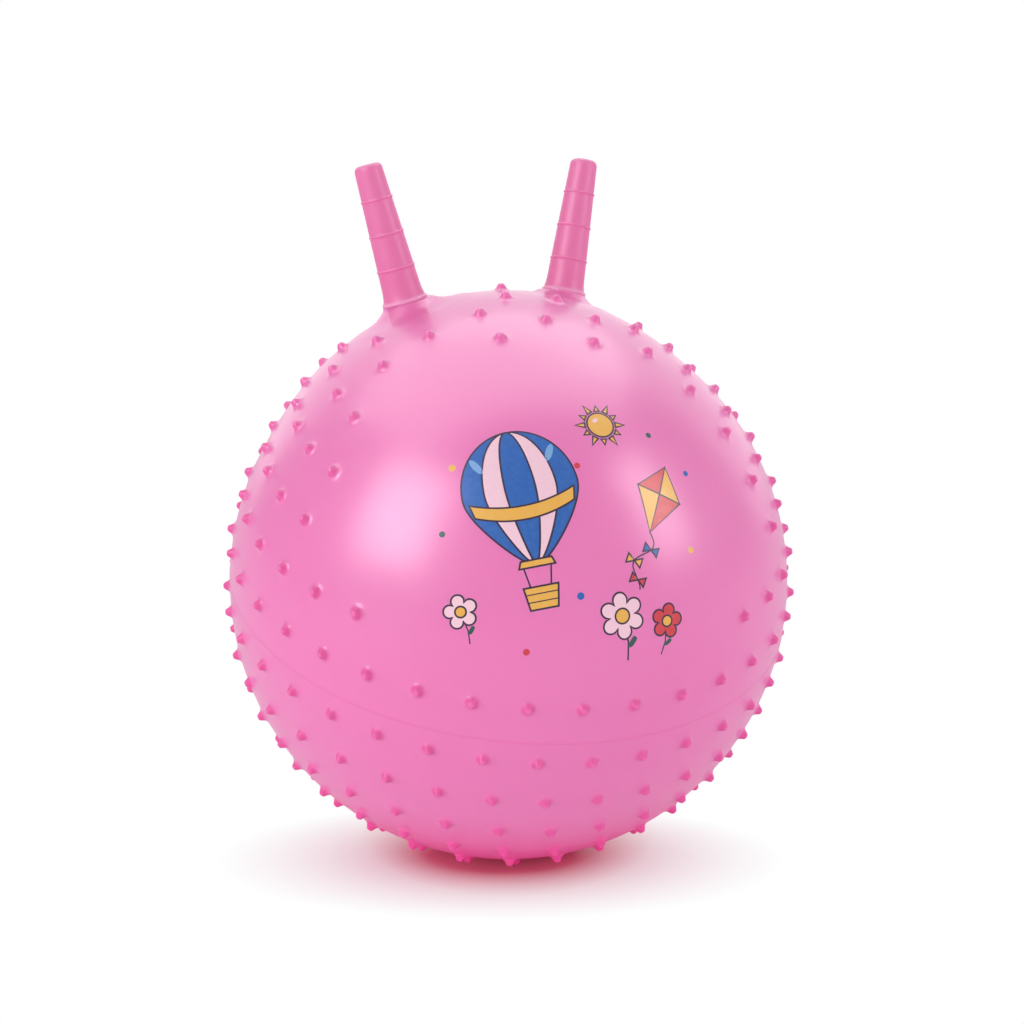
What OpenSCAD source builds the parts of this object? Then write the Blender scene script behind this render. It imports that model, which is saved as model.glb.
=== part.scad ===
// Hopper ball: a soft hollow ball with two grips, moulded nubs and an air valve.
// It stands on its pressed flat, with the front towards -Y and +X to the right of it.

/* [Ball] */
// Radius of the blown skin
ball_r = 225; // [180:5:300]
// Thickness of the skin
skin_wall = 1.5; // [1.2:0.1:3]
// How far the floor presses the ball in
press_depth = 5; // [4:0.5:8]

/* [Crown] */
// Radius of the raised cap that carries the grips
crown_r = 208; // [160:2:212]
// Height of the cap above the round of the ball
crown_rise = 10; // [6:1:14]
// Lean of the cap and of the row of grips towards the back
crown_lean = 11; // [0:1:15]

/* [Nubs] */
// Distance from one nub to the next along a row
nub_pitch = 40.5; // [34:0.5:60]
// Distance from one row to the next along the skin
nub_row_step = 44; // [36:1:60]
// Turn of the whole pattern about the mould's axis
nub_turn = 2.3; // [-5:0.1:5]
// Height of a nub
nub_h = 6.5; // [5:0.5:9]
// Radius of a nub above its flare
nub_r = 4.2; // [3:0.1:5]
// Radius of a nub's rounded tip
nub_tip_r = 2.4; // [1.5:0.1:2.8]
// Radius of the flare at the skin
nub_foot_r = 6; // [5.2:0.1:7]
// Height of the flare
nub_foot_h = 1.6; // [1:0.1:2]
// Lean of the mould's axis towards the front
mould_lean = 17.5; // [0:0.5:25]
// Width of the ridge that the mould's joint leaves
seam_w = 1.6; // [1:0.1:3]
// Height of that ridge
seam_h = 0.4; // [0.3:0.1:0.8]

/* [Print window] */
// Radius along the skin of the smooth round that holds the print
window_r = 180; // [100:5:190]
// Height angle of its middle above the level of the ball's centre
window_up = 29; // [20:1:35]

/* [Grips] */
// Distance between the feet of the two grips
grip_gap = 137; // [120:1:160]
// Length of a grip from foot to tip
grip_len = 110; // [90:1:130]
// Lean of each grip outwards
grip_splay = 13; // [5:0.5:18]
// Lean of the grips towards the back
grip_back = 7; // [0:0.5:12]
// Radius of the foot's lip
lip_r = 18.2; // [17.5:0.1:19.5]
// Thickness of the lip
lip_h = 2.2; // [1.5:0.1:3]
// Radius of the grip above its foot
grip_low_r = 16; // [15:0.1:16.5]
// Radius of the grip at its tip
grip_tip_r = 10.9; // [9:0.1:12]
// Rounding of the tip's edge
grip_tip_round = 5; // [3:0.5:6]
// Height of the foot's flare
grip_flare_h = 9; // [6:0.5:12]
// Number of raised rings
ring_count = 3; // [2:1:4]
// Width of a ring
ring_w = 1.8; // [1.2:0.1:3]
// Height of a ring above the grip
ring_h = 0.7; // [0.4:0.1:1.2]
// Wall of the hollow grip
grip_wall = 3.5; // [2.5:0.5:5]
// Radius of the root that goes through the neck
root_r = 15.5; // [14:0.1:16]
// Length of the root below the lip
root_len = 34; // [24:1:45]

/* [Neck] */
// Height of the neck's top above the crown
neck_h = 6; // [4:0.5:10]
// Width of the skin's flare round each grip
neck_spread = 26; // [20:1:40]
// Thickness of the neck under the lip
neck_wall = 3; // [2.5:0.5:4]

/* [Valve] */
// Height angle of the valve at the back of the ball
valve_up = 28; // [15:1:40]
// Radius of the seat's flange
seat_flange_r = 14; // [12:0.5:18]
// Thickness of the flange
seat_flange_h = 1.6; // [1.2:0.1:2.5]
// Radius of the seat's barrel
seat_r = 7.5; // [7:0.1:9]
// Length of the barrel below the flange
seat_len = 18; // [15:1:24]
// Radius of the flat collar that the skin has under the flange
collar_r = 16; // [15:0.5:20]
// Height of that collar above the skin
collar_h = 1.5; // [1.3:0.1:2.5]
// Radius of the air hole
air_r = 3.2; // [2.6:0.1:4]
// Clearance of the plug's stem in the air hole
plug_fit = 0.1; // [0.05:0.01:0.1]
// Gap between the plug's head and the seat
plug_gap = 0.3; // [0.3:0.1:0.5]
// Length of the plug's stem
plug_len = 14; // [10:1:15]
// Radius of the plug's head
plug_head_r = 7; // [6:0.1:8.5]
// Thickness of the plug's head
plug_head_h = 1.6; // [1.2:0.1:2.5]

/* [Hidden] */
$fn = 96;
skin_colour = "#ec7db9";
grip_colour = "#eb6eaf";
valve_colour = "#f4d7e6";
overrun = 5;
arc_steps = 6;
nub_facets = 32;
// The part of the skin's thickness that a nub's foot goes into
nub_root_share = 0.8;
nub_root = nub_root_share * skin_wall;
centre_z = ball_r - press_depth;
crown_off = ball_r + crown_rise - crown_r;
crown_dir = turn_x([0, 0, 1], -crown_lean);
window_dir = [0, -cos(window_up), sin(window_up)];
valve_dir = [0, cos(valve_up), sin(valve_up)];
// The poles of the round surfaces lie in the smooth window and opposite it
pole_up = 33;
pole_dir = [0, -cos(pole_up), sin(pole_up)];
// The feet stand in a plane that holds the ball's centre and leans with the crown
foot_swing = asin(grip_gap / 2 / (ball_r + crown_rise));
foot_far = cap_reach(cos(foot_swing)) + neck_h;
// The skin's outside where the valve stands
valve_far = skin_far(valve_dir);
row_step = arc_angle(nub_row_step);
rows_half = floor(90 / row_step);
nub_room = 2 * nub_foot_r;
grip_room = lip_r + neck_spread / 2 + nub_room;
valve_room = collar_r + nub_room;

function turn_x(v, a) = [v.x, v.y * cos(a) - v.z * sin(a), v.y * sin(a) + v.z * cos(a)];
function arc_angle(s) = s / ball_r * 180 / PI;
function angle(a, b) = acos(min(1, max(-1, a * b / norm(a) / norm(b))));

// A direction from the ball's centre, by latitude and longitude in the mould
function mould_dir(lat, lon) = turn_x([sin(lon) * cos(lat), -cos(lon) * cos(lat), sin(lat)], mould_lean);
function foot_dir(side) = turn_x([side * sin(foot_swing), 0, cos(foot_swing)], -crown_lean);
function grip_dir(side) = turn_x([side * sin(grip_splay), 0, cos(grip_splay)], -grip_back);

// Distance from the ball's centre to the crown's round, by the cosine to its axis
function cap_reach(c) = crown_off * c + sqrt(crown_r * crown_r - crown_off * crown_off * (1 - c * c));
function on_crown(v) = cap_reach(v * crown_dir) > ball_r;
function skin_far(v) = max(ball_r, cap_reach(v * crown_dir));
function skin_point(v) = v * skin_far(v);
function skin_normal(v) = on_crown(v) ? skin_point(v) - crown_off * crown_dir : v;

function has_nub(v) = angle(v, window_dir) > arc_angle(window_r)
    && angle(v, foot_dir(1)) > arc_angle(grip_room)
    && angle(v, foot_dir(-1)) > arc_angle(grip_room)
    && angle(v, valve_dir) > arc_angle(valve_room)
    && centre_z + ball_r * v.z > nub_foot_h / 2;

module at_centre() translate([0, 0, centre_z]) children();
module point_along(v) rotate([0, acos(v.z / norm(v)), atan2(v.y, v.x)]) children();
module on_foot(side) translate(foot_far * foot_dir(side)) point_along(grip_dir(side)) children();

// One bell-shaped nub: a flare that goes into the skin, a taper and a rounded tip
module nub() {
    spread = (nub_foot_r - nub_r) / nub_foot_h;
    translate([0, 0, -nub_root])
        cylinder(h = nub_foot_h + nub_root, r1 = nub_foot_r + nub_root * spread, r2 = nub_r, $fn = nub_facets);
    translate([0, 0, nub_foot_h])
        cylinder(h = nub_h - nub_foot_h - nub_tip_r, r1 = nub_r, r2 = nub_tip_r, $fn = nub_facets);
    translate([0, 0, nub_h - nub_tip_r]) sphere(r = nub_tip_r, $fn = nub_facets);
}

// Rows on both sides of the mould's joint, each half a pitch round from the last
module nubs() {
    for (k = [-rows_half : rows_half]) {
        lat = (k - 0.5) * row_step;
        count = round(2 * PI * ball_r * cos(lat) / nub_pitch);
        for (i = [0 : 1 : count - 1]) {
            v = mould_dir(lat, nub_turn + (i + (k % 2 == 0 ? 0.5 : 0)) * 360 / count);
            if (has_nub(v)) translate(skin_point(v)) point_along(skin_normal(v)) nub();
        }
    }
}

// The ball's round with its crown, drawn in by the given depth
module ball_form(depth) {
    point_along(pole_dir) sphere(r = ball_r - depth);
    translate(crown_off * crown_dir) point_along(pole_dir) sphere(r = crown_r - depth);
}

// The skin's hollow flare up to a grip's foot, drawn in by the given depth
module neck(side, depth) on_foot(side) {
    deep = 3 * neck_h;
    rotate_extrude() polygon(concat(
        [[0, -deep - neck_h], [lip_r + neck_spread - depth, -deep - neck_h]],
        [for (i = [0 : arc_steps]) let (a = i * 90 / arc_steps)
            [lip_r + neck_spread * (1 - sin(a)) - depth, -deep * cos(a) - depth]],
        [[0, -depth]]));
}

module floor_block() translate([0, 0, -centre_z - ball_r]) cylinder(h = ball_r, r = ball_r);

// The hollow skin with its necks, the valve's collar, the mould's ridge and the pressed flat
module shell() difference() {
    union() {
        ball_form(0);
        for (side = [-1, 1]) neck(side, 0);
        point_along(valve_dir) cylinder(h = valve_far + collar_h, r = collar_r);
        rotate([mould_lean, 0, 0]) cylinder(h = seam_w, r = ball_r + seam_h, center = true);
    }
    ball_form(skin_wall);
    for (side = [-1, 1]) {
        neck(side, neck_wall);
        on_foot(side) translate([0, 0, -root_len]) cylinder(h = root_len + overrun, r = root_r);
    }
    point_along(valve_dir) translate([0, 0, valve_far - seat_len]) cylinder(h = seat_len + overrun, r = seat_r);
    floor_block();
}

// Nubs that meet the floor are pressed flat on it
module ball_skin() color(skin_colour) at_centre() {
    shell();
    difference() {
        nubs();
        floor_block();
    }
}

// A hollow grip: lip, flare, tapered shaft with rings, rounded tip, and the root below the lip
module grip(side) color(grip_colour) at_centre() on_foot(side) {
    taper = (grip_low_r - grip_tip_r) / grip_len;
    ring_step = grip_len / (ring_count + 1);
    flat_r = grip_tip_r - grip_tip_round;
    difference() {
        union() {
            rotate_extrude() polygon(concat(
                [[0, -root_len], [root_r, -root_len], [root_r, 0], [lip_r, 0]],
                [for (i = [0 : arc_steps]) let (a = i * 90 / arc_steps)
                    [grip_low_r + (lip_r - grip_low_r) * (1 - sin(a)), lip_h + grip_flare_h * (1 - cos(a))]],
                [for (i = [0 : arc_steps]) let (a = i * 90 / arc_steps)
                    [flat_r + grip_tip_round * cos(a), grip_len - grip_tip_round * (1 - sin(a))]],
                [[0, grip_len]]));
            for (i = [1 : ring_count])
                translate([0, 0, i * ring_step - ring_w / 2])
                    cylinder(h = ring_w, r = grip_low_r - taper * i * ring_step + ring_h);
        }
        // Open at the root, closed at the tip
        translate([0, 0, -root_len - overrun])
            cylinder(h = root_len + overrun, r = grip_low_r - grip_wall);
        cylinder(h = grip_len - grip_wall, r1 = grip_low_r - grip_wall, r2 = grip_tip_r - grip_wall);
    }
}
module left_grip() grip(-1);
module right_grip() grip(1);

// The seat's flange lies on the skin's collar and its barrel goes through it
module valve_seat() color(valve_colour) at_centre() point_along(valve_dir) translate([0, 0, valve_far + collar_h])
    difference() {
        union() {
            cylinder(h = seat_flange_h, r = seat_flange_r);
            translate([0, 0, -seat_len]) cylinder(h = seat_len, r = seat_r);
        }
        translate([0, 0, -seat_len - overrun]) cylinder(h = seat_len + seat_flange_h + 2 * overrun, r = air_r);
    }

// The stopper's head stands off the seat and its stem fills the air hole
module valve_plug() color(valve_colour) at_centre() point_along(valve_dir)
    translate([0, 0, valve_far + collar_h + seat_flange_h + plug_gap]) {
        cylinder(h = plug_head_h, r = plug_head_r);
        translate([0, 0, -plug_len]) cylinder(h = plug_len, r = air_r - plug_fit);
    }

ball_skin();
left_grip();
right_grip();
valve_seat();
valve_plug();
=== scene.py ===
import math

import bpy
import numpy as np
from mathutils import Matrix, Vector
from mathutils.geometry import delaunay_2d_cdt


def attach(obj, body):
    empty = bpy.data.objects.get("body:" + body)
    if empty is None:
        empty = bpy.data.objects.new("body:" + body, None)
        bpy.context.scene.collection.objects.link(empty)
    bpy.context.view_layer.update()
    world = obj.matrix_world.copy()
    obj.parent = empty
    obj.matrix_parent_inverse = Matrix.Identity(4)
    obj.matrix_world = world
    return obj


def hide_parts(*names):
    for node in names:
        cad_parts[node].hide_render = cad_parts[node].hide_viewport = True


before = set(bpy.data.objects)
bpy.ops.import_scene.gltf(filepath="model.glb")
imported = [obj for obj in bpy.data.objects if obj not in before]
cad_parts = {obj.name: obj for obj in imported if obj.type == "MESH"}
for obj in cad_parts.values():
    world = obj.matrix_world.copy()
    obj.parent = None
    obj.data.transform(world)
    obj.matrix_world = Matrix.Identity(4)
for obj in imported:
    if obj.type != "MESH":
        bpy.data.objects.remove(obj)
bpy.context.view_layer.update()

# Sizes are in metres and angles in radians, unless a comment says otherwise
MM = 0.001
DEG = math.pi / 180
SIDES = (-1, 1)
TINY = 1e-9


# The ball, its crown and the pressed flat under it

BALL_R = 225 * MM
PRESS = 5 * MM
CENTRE = np.array([0, 0, BALL_R - PRESS])
FLAT_R = math.sqrt(BALL_R ** 2 - CENTRE[2] ** 2)
CROWN_R = 208 * MM
CROWN_RISE = 10 * MM
CROWN_LEAN = 22 * DEG
CROWN_OFF = BALL_R + CROWN_RISE - CROWN_R
CROWN_BLEND = 2.5 * MM
CROWN_SINK = 4 * MM

# The nubs: rows round the mould's axis, the window that they leave free and their bell form

NUB_PITCH = 39 * MM
NUB_ROW_STEP = 40 * MM
NUB_JOINT_STEP = 45.5 * MM
NUB_SHIFT = 5.5 * MM
NUB_TURN = -1.2 * DEG
NUB_ROW_TURN = 1.85 * DEG
NUB_GRIP_ROOM = 38 * MM
NUB_VALVE_ROOM = 12 * MM
NUB_FLOOR_ROOM = 0.8 * MM
NUB_H = 5.7 * MM
NUB_HALF_R = 3.6 * MM
NUB_POWER = 4.5
NUB_REACH = 9 * MM
NUB_FADE_FROM = 0.7
MOULD_LEAN = 15 * DEG
SEAM_H = 0.45 * MM
SEAM_HALF_W = 0.5 * MM
WINDOW_W = 346 * MM
WINDOW_H = 294 * MM
WINDOW_UP = 30.5 * DEG
WINDOW_TURN = 12 * DEG

# The grips and the necks that they stand in

GRIP_GAP = 137 * MM
GRIP_LEN = 110 * MM
GRIP_SPLAY = 13 * DEG
GRIP_BACK = 7 * DEG
FEET_BACK = 11 * DEG
LIP_R = 18.2 * MM
LIP_H = 2.2 * MM
LIP_ROUND = 0.7 * MM
LIP_GAP = 0.1 * MM
GRIP_LOW_R = 16 * MM
GRIP_TIP_R = 10.9 * MM
GRIP_TIP_ROUND = 4.5 * MM
GRIP_TIP_IN = 0.5 * MM
GRIP_TIP_DOME = ((3 * MM, 0.12 * MM), (0, 0.15 * MM))
GRIP_FLARE_H = 10 * MM
GRIP_FLARE_IN = 1 * MM
GRIP_FLARE_POWER = 2.2
RING_AT = (27.5 * MM, 55 * MM, 82.5 * MM)
RING_H = 0.8 * MM
RING_HALF_W = 0.65 * MM
GRIP_WALL = 3.5 * MM
BORE_CORNER = 1 * MM
ROOT_R = 15.4 * MM
ROOT_LEN = 34 * MM
ROOT_ROUND = 0.8 * MM
NECK_H = 6.6 * MM
NECK_SPREAD = 30 * MM
FLARE_R = LIP_R + NECK_SPREAD
NECK_DEEP = NECK_H + CROWN_R - math.sqrt(CROWN_R ** 2 - FLARE_R ** 2)

# The valve: where it stands, its collar, seat and plug

VALVE_UP = 28 * DEG
VALVE_ROUND = (8 * DEG, 30 * DEG)
VALVE_FAR = BALL_R
COLLAR_R = 16 * MM
COLLAR_H = 1.5 * MM
SEAT_FLANGE_R = 14 * MM
SEAT_FLANGE_H = 1.6 * MM
SEAT_R = 7.4 * MM
SEAT_LEN = 18 * MM
SEAT_LIFT = 0.02 * MM
SEAT_EDGE = 0.6 * MM
GROOVE_DEEP = 0.25 * MM
GROOVE_OUTER = (11.2 * MM, 10.9 * MM)
GROOVE_INNER = (8.6 * MM, 8.3 * MM)
AIR_R = 3.2 * MM
AIR_EDGE = 0.4 * MM
PLUG_GAP = 0.3 * MM
PLUG_FIT = 0.1 * MM
PLUG_LEN = 14 * MM
PLUG_TIP_ROUND = 0.8 * MM
PLUG_HEAD_R = 7 * MM
PLUG_HEAD_H = 1.6 * MM
PLUG_EDGE = 0.5 * MM
PLUG_FILLET = (0.05 * MM, 0.2 * MM)
DISH_DEEP = 0.35 * MM
DISH_WALL = (4.6 * MM, 4.2 * MM)

# The skin's mesh: a lattice of points, and rings where a form needs them

LATTICE_STEP = 4.4 * MM
LATTICE_SHARE = 0.87
RIM_SEGMENTS = 96
INNER_SEGMENTS = 32
VALVE_SEGMENTS = 64
HUB_SEGMENTS = 12

# Round a nub, by radius in millimetres, and a base count, what each ring adds, and the most
NUB_RINGS = (0, 0.8, 1.5, 2.1, 2.7, 3.3, 3.9, 4.6, 5.4, 6.4, 7.7)
NUB_SEGMENTS = (5, 3, 22)
NUB_RING_TURN = 0.5

# Under a grip's lip, by radius and height in millimetres and by count
LIP_RINGS = (
    (4, -0.3, HUB_SEGMENTS),
    (11, -0.3, INNER_SEGMENTS),
    (17, -0.3, RIM_SEGMENTS),
    (LIP_R / MM - 0.6, -0.06, RIM_SEGMENTS),
    (LIP_R / MM - 0.1, -0.1, RIM_SEGMENTS),
)
LIP_CUT = 0.15 * MM

# Down the neck's flare, and by distance in millimetres past it, where they fall in a curve
FLARE_RINGS = 17
FLARE_FIRST = 0.45
FLARE_CROWDING = 1.5
CROWN_RINGS = (3, 6.5, 10.5)
CROWN_RINGS_CURVE = 16
NECK_BLEND = (0.3 * MM, 2.2 * MM)
NECK_BLEND_ROOM = 12 * MM

# Round the valve, by radius and height in millimetres, from the barrel's hole over the collar
COLLAR_RINGS = (
    (3, -SEAT_LEN / MM),
    (6.6, -SEAT_LEN / MM),
    (7.1, -SEAT_LEN / MM / 2),
    (7.4, -0.3),
    (7.8, 0),
    (10, 0),
    (13, 0),
    (15.0, -0.02),
    (15.5, -0.15),
    (15.8, -0.4),
)
# Down the collar's wall, by radius in millimetres and the share of its height that is left
COLLAR_WALL = ((15.95, 0.62), (16.2, 0.3), (16.7, 0.12), (17.6, 0.03), (19.3, 0), (22.3, 0))

# On the floor, by share of the flat's radius
FLAT_RINGS = (0.12, 0.3, 0.5, 0.68, 0.84, 0.94, 1.0, 1.05, 1.12)

# Rows along the joint of the mould, by distance from it in millimetres
SEAM_ROWS = (-3.4, -1.6, -0.9, -0.45, 0, 0.45, 0.9, 1.6, 3.4)
SEAM_STEP = 2.6 * MM

# Where the lattice keeps off
RING_GAP = LATTICE_STEP * 0.6
FLAT_GAP = LATTICE_STEP * 0.5
NECK_ROOM = FLARE_R + CROWN_RINGS[-1] * MM + RING_GAP
VALVE_ROOM = COLLAR_WALL[-1][0] * MM + RING_GAP
FLAT_ROOM = FLAT_RINGS[-1] * FLAT_R + FLAT_GAP
SEAM_ROOM = 4.6 * MM

DIRS_AT_ONCE = 4000
SPHERE_MERGE = 1e-10

# Where colour deepens on a nub, the thick vinyl's deeper colour with painted shade on its flanks:
# from which share of its height, how much less at its tip, where painted light pales it, and how
# much less on the ball's upper side, as painted light from above, by the height of the nub's
# direction

FLANK_SPAN = (0.03, 0.4)
TIP_LIGHT_SPAN = (0.85, 1)
TIP_LIGHT_LESS = 0.5
UPPER_LIGHT_SPAN = (0.2, 0.8)
UPPER_LIGHT_LESS = 0.5
SEAM_DEEPER = 0.5


# Vectors and directions

def unit(v):
    v = np.asarray(v, float)
    return v / np.linalg.norm(v, axis=-1, keepdims=True)


def turn_x(v, a):
    x, y, z = np.moveaxis(np.asarray(v, float), -1, 0)
    c, s = math.cos(a), math.sin(a)
    return np.stack([x, y * c - z * s, y * s + z * c], axis=-1)


def direction(azimuth, elevation):
    """A unit vector by its azimuth from the front, -Y, towards +X and its height over the level."""
    return np.array([
        math.sin(azimuth) * math.cos(elevation),
        -math.cos(azimuth) * math.cos(elevation),
        math.sin(elevation),
    ])


def across(n):
    """Two unit vectors square to n and to each other."""
    n = unit(n)
    helper = np.array([0.0, 1, 0]) if abs(n[1]) < 0.9 else np.array([1.0, 0, 0])
    e = unit(np.cross(helper, n))
    return e, np.cross(n, e)


def circle(axis, count, start=0.0):
    """Unit vectors square to an axis, evenly round it."""
    e, n = across(axis)
    a = start + np.arange(count) * math.tau / count
    return np.cos(a)[:, None] * e + np.sin(a)[:, None] * n


def ring_dirs(axis, angle, count, start=0.0):
    """Directions evenly round an axis, all at one angle to it."""
    return math.cos(angle) * axis + math.sin(angle) * circle(axis, count, start)


def stagger(row, count):
    """Half a step's turn for every other row of a count of points."""
    return (row % 2) * math.pi / count


def smooth_step(a, b, x):
    t = np.clip((x - a) / (b - a), 0, 1)
    return t * t * (3 - 2 * t)


def smooth_max(a, b, k):
    h = np.clip(0.5 + 0.5 * (a - b) / k, 0, 1)
    return b + (a - b) * h + k * h * (1 - h)


def swing(v, axis):
    """The angle from each direction to an axis."""
    return np.arccos(np.clip(v @ axis, -1, 1))


DOWN = np.array([0, 0, -1.0])
CROWN_DIR = turn_x([0, 0, 1], -CROWN_LEAN)
MOULD_DIR = turn_x([0, 0, 1], MOULD_LEAN)
VALVE_DIR = np.array([0, math.cos(VALVE_UP), math.sin(VALVE_UP)])
WINDOW_DIR = direction(-WINDOW_TURN, WINDOW_UP)
WINDOW_RIGHT = np.array([math.cos(WINDOW_TURN), -math.sin(WINDOW_TURN), 0])
WINDOW_TOP = np.cross(WINDOW_DIR, WINDOW_RIGHT)


def crown_reach(c):
    """Distance from the ball's centre to the crown, by the cosine to the crown's axis."""
    return CROWN_OFF * c + np.sqrt(CROWN_R ** 2 - CROWN_OFF ** 2 * (1 - c * c))


def reach(v):
    """Distance from the ball's centre to the plain skin.

    Near the valve the crown sinks under the ball's round.
    """
    rise = crown_reach(v @ CROWN_DIR) - BALL_R
    rise = rise - (rise + CROWN_SINK) * (1 - smooth_step(*VALVE_ROUND, swing(v, VALVE_DIR)))
    return BALL_R + smooth_max(rise, 0, CROWN_BLEND)


def skin_normal(v):
    """The plain skin's normal in one direction, on the crown or on the ball's round."""
    on_crown = crown_reach(v @ CROWN_DIR) > BALL_R
    return unit(v * reach(v) - CROWN_OFF * CROWN_DIR) if on_crown else v


def leaned(side, splay, back):
    """A direction over the crown, out to a side by one angle and back by another."""
    return turn_x([side * math.sin(splay), 0, math.cos(splay)], -back)


FOOT_SWING = math.asin(GRIP_GAP / 2 / (BALL_R + CROWN_RISE))
FOOT_DIR = {s: leaned(s, FOOT_SWING, FEET_BACK) for s in SIDES}
GRIP_DIR = {s: leaned(s, GRIP_SPLAY, GRIP_BACK) for s in SIDES}
FOOT_FAR = float(crown_reach(FOOT_DIR[1] @ CROWN_DIR)) + NECK_H


def axis_frame(origin, axis):
    """A frame at a point with its Z along an axis."""
    e, n = across(axis)
    m = Matrix.Identity(4)
    for i in range(3):
        m[i][0], m[i][1], m[i][2], m[i][3] = e[i], n[i], axis[i], origin[i]
    return m


# Where the nubs stand: rows by latitude in the mould, every other one half a pitch round

def nub_sites():
    step, joint = NUB_ROW_STEP / BALL_R, NUB_JOINT_STEP / BALL_R
    half = math.ceil((math.pi / 2 - joint / 2) / step)
    sites = []
    for k in range(-half, half):
        from_joint = (k + 1) * step - joint / 2 if k < 0 else k * step + joint / 2
        lat = NUB_SHIFT / BALL_R + from_joint
        count = max(1, round(math.tau * BALL_R * math.cos(lat) / NUB_PITCH))
        for i in range(count):
            lon = NUB_TURN + k * NUB_ROW_TURN + (i + k % 2 / 2) * math.tau / count
            v = turn_x(direction(lon, lat), MOULD_LEAN)
            if has_nub(v):
                sites.append(v)
    return np.array(sites)


def has_nub(v):
    """Whether a nub stands here, clear of the window, the grips, the valve and the floor."""
    x, y = v @ WINDOW_RIGHT, v @ WINDOW_TOP
    window_share = math.hypot(x / WINDOW_W, y / WINDOW_H)
    return (swing(v, WINDOW_DIR) * window_share * BALL_R > math.hypot(x, y) / 2
            and min(swing(v, FOOT_DIR[s]) for s in SIDES) > (LIP_R + NUB_GRIP_ROOM) / BALL_R
            and swing(v, VALVE_DIR) > (COLLAR_R + NUB_VALVE_ROOM) / BALL_R
            and CENTRE[2] + BALL_R * v[2] > NUB_FLOOR_ROOM)


def nub_distance(dirs, sites):
    """How far each direction is from the nearest nub, along the ball's round."""
    parts = np.array_split(dirs, max(1, len(dirs) // DIRS_AT_ONCE))
    near = [np.arccos(np.clip(part @ sites.T, -1, 1)).min(axis=1) for part in parts]
    return np.concatenate(near) * BALL_R


# The skin: one closed mesh of directions from the ball's centre, each with its own reach and lift

class Cloud:
    """Points of the skin: a direction, the reach along it, a lift off that place, and "nub".

    That is the share by which the colour is deeper there, as on a nub's flank, where the thick
    vinyl's deeper colour goes with painted shade.
    """

    def __init__(self):
        self.dirs, self.far, self.lift, self.nub = [], [], [], []

    def add(self, dirs, far=None, lift=None, nub=None):
        """Points by their directions, on the plain skin unless more is said."""
        dirs = np.atleast_2d(dirs)
        n = len(dirs)
        self.dirs.append(dirs)
        self.far.append(reach(dirs) if far is None else far)
        self.lift.append(np.zeros((n, 3)) if lift is None else lift)
        self.nub.append(np.zeros(n) if nub is None else nub)

    def add_points(self, p):
        """Points by their places from the ball's centre."""
        far = np.linalg.norm(p, axis=1)
        self.add(p / far[:, None], far=far)

    def arrays(self):
        return [np.concatenate(a) for a in (self.dirs, self.far, self.lift, self.nub)]


def lattice(step):
    """Even points all over the unit sphere, by the golden angle."""
    n = int(4 * math.pi * BALL_R ** 2 / (step ** 2 * LATTICE_SHARE))
    i = np.arange(n) + 0.5
    z = 1 - 2 * i / n
    a = i * math.pi * (3 - math.sqrt(5))
    r = np.sqrt(1 - z * z)
    return np.stack([r * np.cos(a), r * np.sin(a), z], axis=1)


def bell(s):
    """Height of a nub at distance s from its axis."""
    fade = 1 - smooth_step(NUB_FADE_FROM * NUB_REACH, NUB_REACH, s)
    return NUB_H / (1 + (s / NUB_HALF_R) ** NUB_POWER) * fade


def add_nub(cloud, v):
    """Rings down one nub, from its tip to its foot."""
    normal = skin_normal(v)
    first, more, most = NUB_SEGMENTS
    for j, s in enumerate(np.array(NUB_RINGS) * MM):
        count = 1 if j == 0 else min(most, first + more * j)
        dirs = ring_dirs(v, s / BALL_R, count, j * NUB_RING_TURN)
        h = float(bell(s))
        share = h / NUB_H
        # The thick vinyl's deeper colour with painted shade on the flanks; painted light pales the
        # tip and the nubs on the ball's upper side
        deeper = smooth_step(*FLANK_SPAN, share) - TIP_LIGHT_LESS * smooth_step(*TIP_LIGHT_SPAN, share)
        deeper *= 1 - UPPER_LIGHT_LESS * smooth_step(*UPPER_LIGHT_SPAN, v[2])
        lift = np.repeat(h * normal[None], count, 0)
        cloud.add(dirs, lift=lift, nub=np.full(count, deeper))


def add_neck(cloud, side):
    """Rings from inside the grip's lip, down the flare and out on to the crown."""
    foot, axis = FOOT_FAR * FOOT_DIR[side], GRIP_DIR[side]
    for j, (r, z, count) in enumerate(LIP_RINGS):
        cloud.add_points(foot + r * MM * circle(axis, count, stagger(j, count)) + z * MM * axis)

    # The flare is a parabola square to the crown, cut off by the plane of the lip
    up = skin_normal(FOOT_DIR[side])
    rings = []
    for i in range(FLARE_RINGS):
        x = 1 - ((i + FLARE_FIRST) / FLARE_RINGS) ** FLARE_CROWDING
        rings.append((FLARE_R - NECK_SPREAD * x, -NECK_DEEP * (1 - x * x)))
    for d in CROWN_RINGS:
        rings.append((FLARE_R + d * MM, -NECK_DEEP - (d + d * d / CROWN_RINGS_CURVE) * MM))
    for j, (r, z) in enumerate(rings):
        p = foot + r * circle(up, RIM_SEGMENTS, stagger(j, RIM_SEGMENTS)) + z * up
        over = np.maximum(0, (p - foot) @ axis + LIP_CUT)
        p = p - over[:, None] * up
        far = np.linalg.norm(p, axis=1)
        dirs = p / far[:, None]
        blend = NECK_BLEND[0] + NECK_BLEND[1] * smooth_step(LIP_R, LIP_R + NECK_BLEND_ROOM, r)
        cloud.add(dirs, far=smooth_max(far, reach(dirs), blend))


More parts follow.
